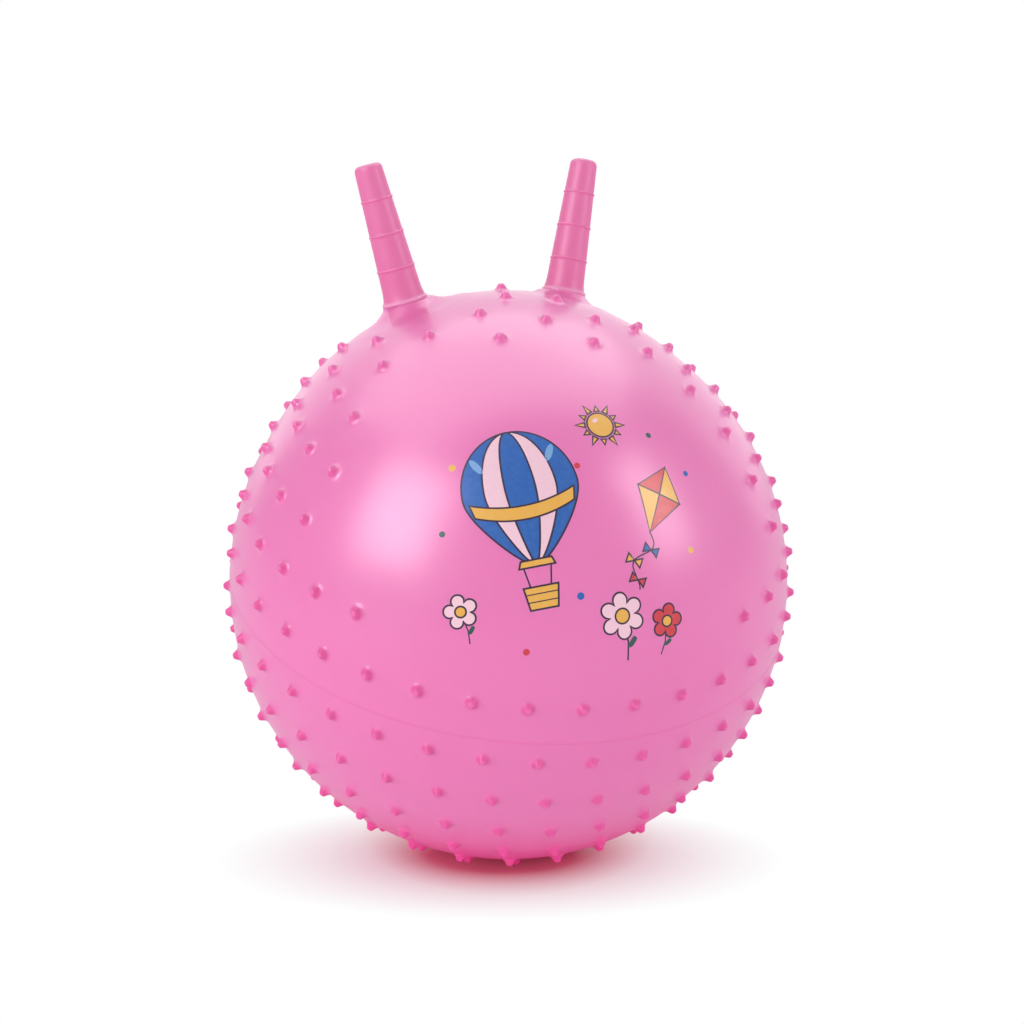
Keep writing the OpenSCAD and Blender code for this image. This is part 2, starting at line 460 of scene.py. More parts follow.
def add_valve(cloud):
    """The collar under the valve's flange, with the hole that the barrel fills."""
    top = VALVE_FAR + COLLAR_H

    def ring(row, r, z, count):
        around = circle(VALVE_DIR, count, stagger(row, count))
        return (top + z * MM) * VALVE_DIR + r * MM * around

    for j, (r, z) in enumerate(COLLAR_RINGS):
        cloud.add_points(ring(j, r, z, HUB_SEGMENTS if j == 0 else VALVE_SEGMENTS))

    # The collar's wall goes down to the skin, which slopes under it
    for j, (r, share) in enumerate(COLLAR_WALL):
        p = ring(j, r, 0, VALVE_SEGMENTS)
        dirs = unit(p)
        skin_far = reach(dirs)
        cloud.add(dirs, far=skin_far + share * (np.linalg.norm(p, axis=1) - skin_far))


def add_flat(cloud, sites):
    """The pressed flat: rings on the floor, one at its edge and two past it."""
    for r in FLAT_RINGS:
        angle = math.atan2(r * FLAT_R, CENTRE[2])
        dirs = ring_dirs(DOWN, angle, max(HUB_SEGMENTS, int(RIM_SEGMENTS * r)))
        cloud.add(dirs[nub_distance(dirs, sites) > NUB_REACH])


def add_seam(cloud, blocked):
    """Rows along the ridge that the mould's joint leaves."""
    count = int(math.tau * BALL_R / SEAM_STEP)
    for j, off in enumerate(np.array(SEAM_ROWS) * MM):
        angle = math.pi / 2 - off / BALL_R
        dirs = ring_dirs(MOULD_DIR, angle, count, stagger(j, count))
        dirs = dirs[~blocked(dirs)]
        share = math.exp(-(off / SEAM_HALF_W) ** 2)
        lift = share * SEAM_H * dirs
        cloud.add(dirs, lift=lift, nub=np.full(len(dirs), SEAM_DEEPER * share))


def skin_mesh():
    """The skin's points and faces, and the "nub" share of each point."""
    cloud = Cloud()
    sites = nub_sites()
    for v in sites:
        add_nub(cloud, v)
    for s in SIDES:
        add_neck(cloud, s)
    add_valve(cloud)
    add_flat(cloud, sites)

    def blocked(dirs):
        """Which directions lie where a nub, a neck, the valve or the flat has its own points."""
        out = swing(dirs, DOWN) * BALL_R < FLAT_ROOM
        out |= swing(dirs, VALVE_DIR) * BALL_R < VALVE_ROOM
        for s in SIDES:
            up = skin_normal(FOOT_DIR[s])
            p = dirs * reach(dirs)[:, None] - FOOT_FAR * FOOT_DIR[s]
            radial = np.linalg.norm(p - (p @ up)[:, None] * up, axis=1)
            out |= (radial < NECK_ROOM) & (dirs @ up > 0)
        return out | (nub_distance(dirs, sites) < NUB_REACH)

    base = lattice(LATTICE_STEP)
    base = base[~blocked(base)]
    off_seam = np.abs(math.pi / 2 - swing(base, MOULD_DIR)) * BALL_R
    cloud.add(base[off_seam > SEAM_ROOM])
    add_seam(cloud, blocked)

    dirs, far, lift, nub = cloud.arrays()
    faces = sphere_faces(dirs)
    points = CENTRE + dirs * far[:, None] + lift
    points[:, 2] = np.maximum(points[:, 2], 0)

    # Close the round that the projection leaves open
    rim = boundary(faces)
    hub = len(points)
    points = np.vstack([points, points[rim].mean(axis=0)])
    nub = np.append(nub, 0)
    faces += [[a, b, hub] for a, b in zip(rim, rim[1:] + rim[:1])]
    return points, outward(points, faces), nub


def sphere_faces(dirs):
    """Delaunay triangles on the sphere, through a flat projection from inside the left foot."""
    pole = unit(FOOT_DIR[-1] * FOOT_FAR)
    e, n = across(pole)
    flat = np.stack([dirs @ e, dirs @ n], axis=1) / (1 - dirs @ pole)[:, None]
    mesh = delaunay_2d_cdt([Vector(p) for p in flat.tolist()], [], [], 0, SPHERE_MERGE, True)
    triangles, sources = mesh[2], mesh[3]
    return [[sources[i][0] for i in f] for f in triangles]


def boundary(faces):
    """The loop of points round the one open edge of a set of triangles."""
    edges = {(f[i], f[(i + 1) % len(f)]) for f in faces for i in range(len(f))}
    step = {b: a for a, b in edges if (b, a) not in edges}
    start = next(iter(step))
    loop, at = [start], step[start]
    while at != start:
        loop.append(at)
        at = step[at]
    return loop


def outward(points, faces):
    """All faces turned alike, so that their normals point away from the ball's centre."""
    tri = np.array(faces)
    a, b, c = (points[tri[:, i]] - CENTRE for i in range(3))
    volume = np.einsum("ij,ij->i", a, np.cross(b, c)).sum()
    return tri.tolist() if volume > 0 else tri[:, ::-1].tolist()


# Making Blender pieces

def make_piece(name, points, faces, body, material, crease=None):
    """A smooth piece that rides on a body, with sharp edges over the given angle in degrees."""
    mesh = bpy.data.meshes.new(name)
    mesh.from_pydata([tuple(map(float, p)) for p in points], [], faces)
    mesh.validate()
    mesh.shade_smooth()
    if crease:
        mesh.set_sharp_from_angle(angle=crease * DEG)
    mesh.materials.append(material)
    piece = add_to_scene(name, mesh)
    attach(piece, body)
    return piece


def add_to_scene(name, data):
    piece = bpy.data.objects.new(name, data)
    bpy.context.scene.collection.objects.link(piece)
    return piece


def add_attribute(piece, name, values):
    """A number for each point of a piece, for its material to read."""
    attribute = piece.data.attributes.new(name, "FLOAT", "POINT")
    attribute.data.foreach_set("value", values.astype(np.float32))


def revolve(profile, place, segments=RIM_SEGMENTS):
    """Points and faces of a closed round form: a profile of (radius, height) about an axis."""
    points, faces, rings = [], [], []
    for r, z in profile:
        if r < TINY:
            rings.append([len(points)])
            points.append(place @ Vector((0, 0, z)))
        else:
            rings.append(list(range(len(points), len(points) + segments)))
            for i in range(segments):
                a = math.tau * i / segments
                points.append(place @ Vector((r * math.cos(a), r * math.sin(a), z)))
    for low, high in zip(rings, rings[1:]):
        for i in range(segments):
            j = (i + 1) % segments
            if len(low) == 1:
                faces.append([low[0], high[j], high[i]])
            elif len(high) == 1:
                faces.append([low[i], low[j], high[0]])
            else:
                faces.append([low[i], low[j], high[j], high[i]])
    return points, faces


def arc(centre, radius, start, end, steps):
    """Points on a round corner of a profile, from one angle to another in degrees."""
    return [(centre[0] + radius * math.cos(a * DEG), centre[1] + radius * math.sin(a * DEG))
            for a in np.linspace(start, end, steps)]


# Material nodes

def rgb(r, g, b):
    """A colour as seen on a screen, 0 to 255, to Blender's linear values."""
    linear = (((c / 255 + 0.055) / 1.055) ** 2.4 if c > 10 else c / 3294 for c in (r, g, b))
    return tuple(linear) + (1,)


WHITE = (1, 1, 1, 1)


def new_material(name):
    m = bpy.data.materials.new(name)
    m.use_nodes = True
    m.node_tree.nodes.clear()
    return m, m.node_tree


def node(tree, kind, **values):
    """A node with some of its sockets and settings given by name."""
    n = tree.nodes.new(kind)
    for key, value in values.items():
        if key in n.inputs:
            n.inputs[key].default_value = value
        else:
            setattr(n, key, value)
    return n


def join(tree, *links):
    """Links between nodes, each as a node and its output, then a node and its input."""
    for source, output, target, socket in links:
        tree.links.new(source.outputs[output], target.inputs[socket])


def noise(tree, scale, detail, rough):
    coords = node(tree, "ShaderNodeTexCoord")
    n = node(tree, "ShaderNodeTexNoise", Scale=scale, Detail=detail, Roughness=rough)
    join(tree, (coords, "Object", n, "Vector"))
    return n


def to_range(tree, source, low, high, out_low, out_high):
    values = {"From Min": low, "From Max": high, "To Min": out_low, "To Max": out_high}
    r = node(tree, "ShaderNodeMapRange", **values)
    tree.links.new(source, r.inputs["Value"])
    return r.outputs["Result"]


def mixed(tree, fac, a, b):
    """Two colours mixed, where the share and the first colour may be another node's output."""
    m = node(tree, "ShaderNodeMix", data_type="RGBA")
    for socket, value in ((m.inputs[0], fac), (m.inputs[6], a), (m.inputs[7], b)):
        if isinstance(value, bpy.types.NodeSocket):
            tree.links.new(value, socket)
        else:
            socket.default_value = value
    return m.outputs[2]


def point_value(tree, name):
    return node(tree, "ShaderNodeAttribute", attribute_name=name).outputs["Fac"]


def tint(tree, shader, value, most, colour):
    """Mixes a colour into the shader's own, up to a share where the value is 1."""
    base = shader.inputs["Base Color"]
    share = to_range(tree, value, 0, 1, 0, most)
    tree.links.new(mixed(tree, share, base.links[0].from_socket, colour), base)


# Materials of the skin, the grips, the valve and the inks

SKIN_THIN = rgb(243, 128, 193)
SKIN_DEEP = rgb(233, 80, 156)
# The low colour is painted shade near the floor; the lit colour is painted light on the skin's
# inside and on the grips' lips
SKIN_LOW_SHADE = rgb(248, 66, 156)
SKIN_LIT = rgb(244, 170, 211)
GRIP_THIN = rgb(233, 115, 173)
GRIP_DEEP = rgb(224, 91, 157)
VALVE_THIN = rgb(246, 214, 230)
VALVE_DEEP = rgb(238, 190, 214)

VINYL = {
    "Subsurface Weight": 0.3,
    "Subsurface Radius": (1.0, 0.35, 0.5),
    "Subsurface Scale": 6 * MM,
    "IOR": 1.5,
    "Coat Roughness": 0.24,
}
INK = {"IOR": 1.5, "Coat Weight": 0.35, "Coat Roughness": 0.2}
SKIN_COAT = 0.35

# Noises by scale, detail and roughness, and the span that most of a noise lies in
CLOUDS = (5, 2, 0.45)
WEAR = (22, 3, 0.5)
GRAIN = (900, 2, 0.6)
WAVES = (12, 2, 0.4)
INK_PATCHES = (260, 4, 0.65)
INK_GRAIN = (1500, 2, 0.6)
NOISE_SPAN = (0.3, 0.7)
PATCH_SPAN = (0.42, 0.75)

# The most that each one changes
CLOUD_SHARE = 0.1
WEAR_FACTORS = (0.92, 1.08)
PATCH_SHARE = 0.5
INK_ROUGHNESS = (0.3, 0.4)
NUB_SHARE = 0.62
LOW_SHADE_SHARE = 0.8
LIP_SHARE = 0.6
CLEAR_SHARE = 0.32
MATT_SPAN = (0.05, 0.8)
MATT_COAT = 0.04
MATT_SPECULAR = (0.5, 0.2)
GRAIN_BUMP = {"Strength": 0.15, "Distance": 0.05 * MM}
WAVE_BUMP = {"Strength": 0.15, "Distance": 0.5 * MM}
INK_BUMP = {"Strength": 0.12, "Distance": 0.05 * MM}


def soft_vinyl(name, thin, deep, roughness, coat):
    """Soft PVC: a faintly clouded colour, a fine grain, slow waves and a satin gloss."""
    m, tree = new_material(name)
    out = node(tree, "ShaderNodeOutputMaterial")
    shader = node(tree, "ShaderNodeBsdfPrincipled", subsurface_method="RANDOM_WALK", **VINYL)
    shader.inputs["Coat Weight"].default_value = coat
    clouds = noise(tree, *CLOUDS).outputs["Fac"]
    colour = mixed(tree, to_range(tree, clouds, *NOISE_SPAN, 0, CLOUD_SHARE), thin, deep)
    tree.links.new(colour, shader.inputs["Base Color"])
    wear = noise(tree, *WEAR).outputs["Fac"]
    rough = to_range(tree, wear, *NOISE_SPAN, *(roughness * f for f in WEAR_FACTORS))
    tree.links.new(rough, shader.inputs["Roughness"])
    grain = noise(tree, *GRAIN)
    waves = noise(tree, *WAVES)
    wave_bump = node(tree, "ShaderNodeBump", **WAVE_BUMP)
    grain_bump = node(tree, "ShaderNodeBump", **GRAIN_BUMP)
    join(tree,
         (waves, "Fac", wave_bump, "Height"),
         (grain, "Fac", grain_bump, "Height"),
         (wave_bump, "Normal", grain_bump, "Normal"),
         (grain_bump, "Normal", shader, "Normal"),
         (shader, "BSDF", out, "Surface"))
    return m, tree, shader, out


def skin_vinyl():
    """The skin's vinyl: deeper and less glossy on the nubs and near the floor. On the nubs the
    deeper colour is the thick vinyl's own, with painted shade on the flanks and painted light at
    the tips and on the upper side; near the floor it is painted shade.
    """
    m, tree, shader, out = soft_vinyl(
        "skin_vinyl", SKIN_THIN, SKIN_DEEP, roughness=0.34, coat=SKIN_COAT)
    nub, low = point_value(tree, "nub"), point_value(tree, "near_floor")
    # On the nubs: the thick vinyl's deeper colour with painted shade and painted light
    tint(tree, shader, nub, NUB_SHARE, SKIN_DEEP)
    # Painted shade: the colour deepens towards the floor
    tint(tree, shader, low, LOW_SHADE_SHARE, SKIN_LOW_SHADE)
    matt = node(tree, "ShaderNodeMath", operation="MAXIMUM")
    tree.links.new(nub, matt.inputs[0])
    tree.links.new(low, matt.inputs[1])
    for socket, gloss in (("Coat Weight", (SKIN_COAT, MATT_COAT)),
                          ("Specular IOR Level", MATT_SPECULAR)):
        less = to_range(tree, matt.outputs["Value"], *MATT_SPAN, *gloss)
        tree.links.new(less, shader.inputs[socket])
    see_through_necks(tree, shader, out)
    return m


def see_through_necks(tree, shader, out):
    """Near the necks some light passes, so that the grips' roots show under the skin.

    The skin's inside is given a faint glow of lit skin colour, painted light that stands in for the
    light coming through the skin.
    """
    side = node(tree, "ShaderNodeNewGeometry")
    clear = node(tree, "ShaderNodeBsdfTransparent", Color=WHITE)
    # Painted light: a glow of lit skin colour on the skin's inside
    painted_glow = node(tree, "ShaderNodeEmission", Color=SKIN_LIT, Strength=1.0)
    outer = node(tree, "ShaderNodeMixShader")
    both = node(tree, "ShaderNodeMixShader")
    share = to_range(tree, point_value(tree, "near_neck"), 0, 1, 0, CLEAR_SHARE)
    tree.links.new(share, outer.inputs["Fac"])
    join(tree,
         (shader, "BSDF", outer, 1),
         (clear, "BSDF", outer, 2),
         (side, "Backfacing", both, "Fac"),
         (outer, "Shader", both, 1),
         (painted_glow, "Emission", both, 2),
         (both, "Shader", out, "Surface"))


def grip_vinyl():
    """The grips' vinyl, matt, and paler at the lip from painted light."""
    m, tree, shader, _ = soft_vinyl("grip_vinyl", GRIP_THIN, GRIP_DEEP, roughness=0.5, coat=0.1)
    # Painted light: the lip and the foot of the flare are mixed towards lit skin colour
    tint(tree, shader, point_value(tree, "lip"), LIP_SHARE, SKIN_LIT)
    return m


def valve_vinyl():
    """The valve's pale vinyl."""
    return soft_vinyl("valve_vinyl", VALVE_THIN, VALVE_DEEP, roughness=0.4, coat=0.2)[0]


def ink(name, colour, worn):
    """Printed ink on vinyl: flat colour with faint screen unevenness and the skin's own gloss."""
    m, tree = new_material(name)
    out = node(tree, "ShaderNodeOutputMaterial")
    shader = node(tree, "ShaderNodeBsdfPrincipled", **INK)
    patches = noise(tree, *INK_PATCHES).outputs["Fac"]
    share = to_range(tree, patches, *PATCH_SPAN, 0, PATCH_SHARE)
    tree.links.new(mixed(tree, share, colour, worn), shader.inputs["Base Color"])
    grain = noise(tree, *INK_GRAIN)
    rough = to_range(tree, grain.outputs["Fac"], *NOISE_SPAN, *INK_ROUGHNESS)
    tree.links.new(rough, shader.inputs["Roughness"])
    bump = node(tree, "ShaderNodeBump", **INK_BUMP)
    join(tree,
         (grain, "Fac", bump, "Height"),
         (bump, "Normal", shader, "Normal"),
         (shader, "BSDF", out, "Surface"))
    return m


# The skin

NEAR_NECK = (34 * MM, 62 * MM)
NEAR_FLOOR = (18 * MM, 100 * MM)
NUB_LOW_LESS = 0.3


def build_skin(material):
    points, faces, nub = skin_mesh()
    skin = make_piece("skin", points, faces, "ball", material)
    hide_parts("ball_skin")
    near_neck = np.zeros(len(points))
    for s in SIDES:
        to_foot = np.linalg.norm(points - (CENTRE + FOOT_FAR * FOOT_DIR[s]), axis=1)
        near_neck = np.maximum(near_neck, 1 - smooth_step(*NEAR_NECK, to_foot))
    # Painted shade: the skin's colour deepens towards the floor, less so on the nubs; the same
    # share also lessens the gloss there
    near_floor = (1 - smooth_step(*NEAR_FLOOR, points[:, 2])) * (1 - NUB_LOW_LESS * nub)
    add_attribute(skin, "nub", nub)
    add_attribute(skin, "near_neck", near_neck)
    add_attribute(skin, "near_floor", near_floor)


# The grips

FLARE_STEPS = 14
SHAFT_STEP = 1.6 * MM
RING_STEP = 0.25 * MM
RING_NEAR = 2.2 * MM
LAST_STEP = 0.3 * MM
LIP_FROM = -0.05 * MM


def grip_radius(z):
    """Radius of the shaft, with its three rings."""
    r = GRIP_LOW_R + (GRIP_TIP_R - GRIP_LOW_R) * z / GRIP_LEN
    return r + sum(RING_H * math.exp(-((z - at) / RING_HALF_W) ** 2) for at in RING_AT)


def grip_profile():
    """Half of a grip's section: down its bore, round its root, up its outside to the tip."""
    bore_r, bore_tip_r = GRIP_LOW_R - GRIP_WALL, GRIP_TIP_R - GRIP_WALL
    bore_top, low = GRIP_LEN - GRIP_WALL, -ROOT_LEN + ROOT_ROUND
    profile = [(0, bore_top), (bore_tip_r - BORE_CORNER, bore_top),
               (bore_tip_r, bore_top - BORE_CORNER), (bore_r, 0), (bore_r, low)]
    profile += arc((bore_r + ROOT_ROUND, low), ROOT_ROUND, 180, 270, 4)[1:]
    profile += arc((ROOT_R - ROOT_ROUND, low), ROOT_ROUND, 270, 360, 4)
    profile += [(ROOT_R, -LIP_GAP)]
    profile += arc((LIP_R - LIP_ROUND, LIP_ROUND), LIP_ROUND, 270, 360, 5)
    profile += arc((LIP_R - LIP_ROUND, LIP_H - LIP_ROUND), LIP_ROUND, 0, 70, 5)

    # The flare over the lip
    start, end = LIP_H + LIP_GAP, LIP_H + GRIP_FLARE_H
    for z in np.linspace(start, end, FLARE_STEPS):
        left = 1 - (z - start) / GRIP_FLARE_H
        wider = (LIP_R - GRIP_FLARE_IN - GRIP_LOW_R) * left ** GRIP_FLARE_POWER
        profile.append((grip_radius(z) + wider, z))

    # The shaft, in finer steps near its rings
    z, top = end, GRIP_LEN - GRIP_TIP_ROUND
    while z < top - LAST_STEP:
        to_ring = min(abs(z - at) for at in RING_AT)
        z = min(top, z + (RING_STEP if to_ring < RING_NEAR else SHAFT_STEP))
        profile.append((grip_radius(z), z))

    # The closed tip, very slightly domed
    r = grip_radius(top)
    profile += arc((r - GRIP_TIP_ROUND, top), GRIP_TIP_ROUND, 6, 84, 9)
    profile += [(r - GRIP_TIP_ROUND - GRIP_TIP_IN, GRIP_LEN)]
    profile += [(dome_r, GRIP_LEN + rise) for dome_r, rise in GRIP_TIP_DOME]
    return profile


def build_grips(material):
    for side, label in zip(SIDES, ("left", "right")):
        place = axis_frame(CENTRE + FOOT_FAR * FOOT_DIR[side], GRIP_DIR[side])
        points, faces = revolve(grip_profile(), place)
        grip = make_piece("grip_" + label, points, faces, "ball", material)
        from_foot = np.array([tuple(p) for p in points]) - CENTRE - FOOT_FAR * FOOT_DIR[side]
        height = from_foot @ GRIP_DIR[side]
        lip = (height > LIP_FROM) * (1 - smooth_step(LIP_H, 2 * LIP_H, height))
        add_attribute(grip, "lip", lip)
        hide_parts(label + "_grip")


# The valve's seat and plug

def seat_profile():
    """The seat's section: round the barrel's low end, up it, round the flange, down the hole."""
    edge = SEAT_EDGE
    low = -SEAT_LEN + edge
    profile = [(AIR_R, low)]
    profile += arc((AIR_R + edge, low), edge, 180, 270, 4)[1:]
    profile += arc((SEAT_R - edge, low), edge, 270, 360, 4)
    profile += [(SEAT_R, SEAT_LIFT)]
    profile += arc((SEAT_FLANGE_R - edge, SEAT_LIFT + edge), edge, 270, 360, 4)
    profile += arc((SEAT_FLANGE_R - edge, SEAT_FLANGE_H - edge), edge, 0, 90, 5)
    profile += [(GROOVE_OUTER[0], SEAT_FLANGE_H), (GROOVE_OUTER[1], SEAT_FLANGE_H - GROOVE_DEEP),
                (GROOVE_INNER[0], SEAT_FLANGE_H - GROOVE_DEEP), (GROOVE_INNER[1], SEAT_FLANGE_H)]
    profile += arc((AIR_R + AIR_EDGE, SEAT_FLANGE_H - AIR_EDGE), AIR_EDGE, 90, 180, 4)
    profile += [(AIR_R, low)]
    return profile


def plug_profile():
    """Half of the plug's section, from the end of its stem to the dish in its head."""
    base = SEAT_FLANGE_H + PLUG_GAP
    low, top = base - PLUG_LEN, base + PLUG_HEAD_H
    stem = AIR_R - PLUG_FIT
    edge, tip = PLUG_EDGE, PLUG_TIP_ROUND
    profile = [(0, low), (stem - tip, low)]
    profile += arc((stem - tip, low + tip), tip, 280, 360, 4)
    profile += [(stem, base - PLUG_FILLET[1]), (stem + PLUG_FILLET[0], base)]
    profile += arc((PLUG_HEAD_R - edge, base + edge), edge, 270, 360, 4)
    profile += arc((PLUG_HEAD_R - edge, top - edge), edge, 0, 90, 5)
    profile += [(DISH_WALL[0], top), (DISH_WALL[1], top - DISH_DEEP), (0, top - DISH_DEEP)]
    return profile


def build_valve(material):
    place = axis_frame(CENTRE + (VALVE_FAR + COLLAR_H) * VALVE_DIR, VALVE_DIR)
    points, faces = revolve(seat_profile(), place, VALVE_SEGMENTS)
    seat = make_piece("valve_seat_socket", points, faces, "ball", material)
    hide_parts("valve_seat")
    points, faces = revolve(plug_profile(), place, VALVE_SEGMENTS)
    plug = make_piece("valve_stopper", points, faces, "valve_plug", material)
    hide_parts("valve_plug")


# The print: plain motifs in thin layers of ink that follow the skin, in millimetres on the skin

PRINT_TURN = 10.5 * DEG
PRINT_RAISE = 24 * DEG
PRINT_DIR = direction(-PRINT_TURN, PRINT_RAISE)
PRINT_UP = unit(np.array([0, 0, 1.0]) - PRINT_DIR[2] * PRINT_DIR)
PRINT_RIGHT = np.cross(PRINT_UP, PRINT_DIR)
LINE_W = 1.3
ROPE_W = 1.1
TAIL_W = 1.0
SLAT_W = 0.8
MITRE_LEAST = 0.6
LAYER = 0.04 * MM
INK_SINK = 0.05 * MM
INK_STEP = 2.8
INK_MERGE = 1e-5
INK_CREASE = 40
INKS = {
    "line": (rgb(52, 32, 62), rgb(80, 48, 84)),
    "blue": (rgb(30, 96, 182), rgb(58, 116, 194)),
    "light_blue": (rgb(120, 168, 222), rgb(150, 182, 226)),
    "yellow": (rgb(240, 178, 72), rgb(240, 190, 110)),
    "red": (rgb(214, 48, 62), rgb(222, 84, 100)),
    "pale": (rgb(250, 206, 222), rgb(248, 196, 218)),
    "green": (rgb(44, 84, 80), rgb(70, 104, 100)),
}
print_shapes = {name: [] for name in INKS}


def on_skin(p, lift):
    """A point of the print, in millimetres right and up from its middle, on the skin."""
    x, y = p[0] * MM, p[1] * MM
    far = math.hypot(x, y)
    if far < TINY:
        v = PRINT_DIR
    else:
        a = far / BALL_R
        v = math.cos(a) * PRINT_DIR + math.sin(a) * (x * PRINT_RIGHT + y * PRINT_UP) / far
    return CENTRE + v * (float(reach(v)) + lift)


def oval(cx, cy, rx, ry, turn=0, steps=56):
    c, s = math.cos(turn * DEG), math.sin(turn * DEG)
    out = []
    for a in np.linspace(0, 360, steps, endpoint=False) * DEG:
        x, y = rx * math.cos(a), ry * math.sin(a)
        out.append((cx + x * c - y * s, cy + x * s + y * c))
    return out


def placed(points, cx, cy, turn=0, size=1.0):
    """Points turned by an angle in degrees, scaled and moved."""
    c, s = math.cos(turn * DEG) * size, math.sin(turn * DEG) * size
    return [(cx + x * c - y * s, cy + x * s + y * c) for x, y in points]


def placer(cx, cy, turn, size):
    """A motif's own way to its place on the print."""
    def put(points):
        return placed(points, cx, cy, turn, size)
    return put


def grown(points, w):
    """An outline moved out by w all round."""
    n = len(points)
    ahead = points[1:] + points[:1]
    area = sum(p[0] * q[1] - q[0] * p[1] for p, q in zip(points, ahead))
    turn = 1 if area > 0 else -1
    out = []
    for i in range(n):
        a, b, c = (np.array(points[(i + k) % n]) for k in (-1, 0, 1))
        e1, e2 = b - a, c - b
        n1 = np.array([e1[1], -e1[0]]) / (np.linalg.norm(e1) + TINY)
        n2 = np.array([e2[1], -e2[0]]) / (np.linalg.norm(e2) + TINY)
        m = n1 + n2
        m = m / (np.linalg.norm(m) + TINY)
        stretch = 1 / max(MITRE_LEAST, float(m @ n1))
        out.append(tuple(b + turn * m * w * stretch))
    return out


def stroke(points, w):
    """A line of even width along points, with straight ends."""
    left, right = [], []
    p = [np.array(q, float) for q in points]
    for i, q in enumerate(p):
        t = p[min(i + 1, len(p) - 1)] - p[max(i - 1, 0)]
        t = t / (np.linalg.norm(t) + TINY)
        half = np.array([-t[1], t[0]]) * w / 2
        left.append(tuple(q + half))
        right.append(tuple(q - half))
    return right + left[::-1]


def draw(colour, points, level, line=False):
    """Adds a filled shape, with a dark line round it if asked."""
    if line:
        print_shapes["line"].append((grown(points, LINE_W / 2), level))
        points = grown(points, -LINE_W / 2)
        level += 1
    print_shapes[colour].append((points, level))


def air_balloon(cx, cy, size, turn):
    """A striped air balloon with its basket."""
    def envelope(share):
        out = []
        for a in np.linspace(-90, 270, 72, endpoint=False) * DEG:
            x, y = math.cos(a), math.sin(a)
            pinch = 1 - 0.42 * max(0, -y) ** 1.6
            out.append((42 * x * pinch * share, 24 + 46 * y - (8 * max(0, -y) ** 2)))
        return out

    put = placer(cx, cy, turn, size)
    for colour, share, level in (("blue", 1, 0), ("pale", 0.62, 2), ("blue", 0.26, 4)):
        draw(colour, put(envelope(share)), level, True)
    band = [(x, 12 + 8 * (x / 38) ** 2) for x in np.linspace(-38, 38, 21)]
    band += [(x, 2 + 8 * (x / 36) ** 2) for x in np.linspace(36, -36, 21)]
    draw("yellow", put(band), 6, True)
    draw("yellow", put([(-13, -32), (13, -32), (11, -27), (-11, -27)]), 6, True)
    for x in (-10, 10):
        draw("line", put(stroke([(x, -31), (x * 0.72, -47)], ROPE_W)), 0)
    draw("yellow", put([(-10, -62), (10, -62), (12.5, -46), (-12.5, -46)]), 1, True)
    for y in (-51, -56.5):
        draw("line", put(stroke([(-11, y), (11, y)], SLAT_W)), 3)
    for x, y, lean in ((-27, 48, 28), (27, 48, -28)):
        draw("light_blue", put(oval(x, y, 2.6, 7, lean)), 2)


def kite(cx, cy, size, turn):
    """A four-part kite with a tail of bows."""
    def tail(t):
        return 6 * math.sin(t * 1.1), -26 - 6.2 * t

    put = placer(cx, cy, turn, size)
    top, right, low, left, middle = (0, 30), (19, 6), (0, -26), (-19, 6), (0, 6)
    for colour, part in (("red", [top, left, middle]), ("yellow", [top, middle, right]),
                         ("yellow", [left, low, middle]), ("red", [middle, low, right])):
        draw(colour, put(part), 0, True)
    draw("line", put(stroke([tail(t) for t in np.linspace(0, 7, 40)], TAIL_W)), 0)
    for t, colour in ((2, "blue"), (4, "yellow"), (6, "red")):
        x, y = tail(t)
        for s in SIDES:
            draw(colour, put([(x, y), (x + s * 6, y + 3.6), (x + s * 6, y - 3.6)]), 1, True)


def flower(cx, cy, size, petals, colour, turn):
    """A round flower on a stalk with one leaf."""
    put = placer(cx, cy, turn, size)
    draw("line", put(stroke([(0, -8), (2, -20), (0, -34)], LINE_W)), 0)
    leaf = [(0.5, -24)]
    for t in np.linspace(0.1, 1, 9):
        out = math.sin(t * math.pi)
        leaf.append((0.5 + 9 * t + 1.5 * out, -24 + 5 * t + 4.5 * out))
    for t in np.linspace(0.9, 0.1, 8):
        leaf.append((0.5 + 9 * t, -24 + 5 * t - 2.5 * math.sin(t * math.pi)))
    draw("green", put(leaf), 1)
    edge = []
    for a in np.linspace(0, 360, petals * 14, endpoint=False) * DEG:
        r = 10 + 7.5 * abs(math.cos(a * petals / 2)) ** 0.6
        edge.append((r * math.sin(a), r * math.cos(a)))
    draw(colour, put(edge[::-1]), 2, True)
    draw("yellow", put(oval(0, 0, 5.6, 5.6)), 4, True)


def sun(cx, cy, size):
    """A disc with short rays."""
    for k in range(12):
        tip = 21 if k % 2 else 18
        ray = placed([(-2.3, 13), (0, tip), (2.3, 13)], 0, 0, k * 30)
        draw("yellow", placed(ray, cx, cy, 0, size), 0, True)
    draw("yellow", oval(cx, cy, 11 * size, 11 * size), 2, True)
    draw("pale", oval(cx - 3.5 * size, cy + 4 * size, 2.8 * size, 1.7 * size, 30), 4)


# Dots by place, radius and ink
DOTS = (
    (-4, -42, 2.6, "blue"), (86, -14, 2.4, "yellow"), (-84, 58, 2.6, "yellow"),
    (-96, 10, 2.2, "green"), (66, 74, 2.2, "green"), (4, 50, 2.2, "red"),
    (-44, -78, 2.4, "red"), (92, 44, 2.2, "blue"),
)


def motif_layout():
    air_balloon(-36, 12, 0.98, 6)
    kite(62, 22, 0.95, -24)
    flower(26, -58, 0.95, 6, "pale", 8)
    flower(62, -64, 0.72, 5, "red", -10)
    flower(-88, -46, 0.7, 5, "pale", 12)
    sun(28, 82, 0.92)
    for x, y, r, colour in DOTS:
        draw(colour, oval(x, y, r, r, steps=28), 0)


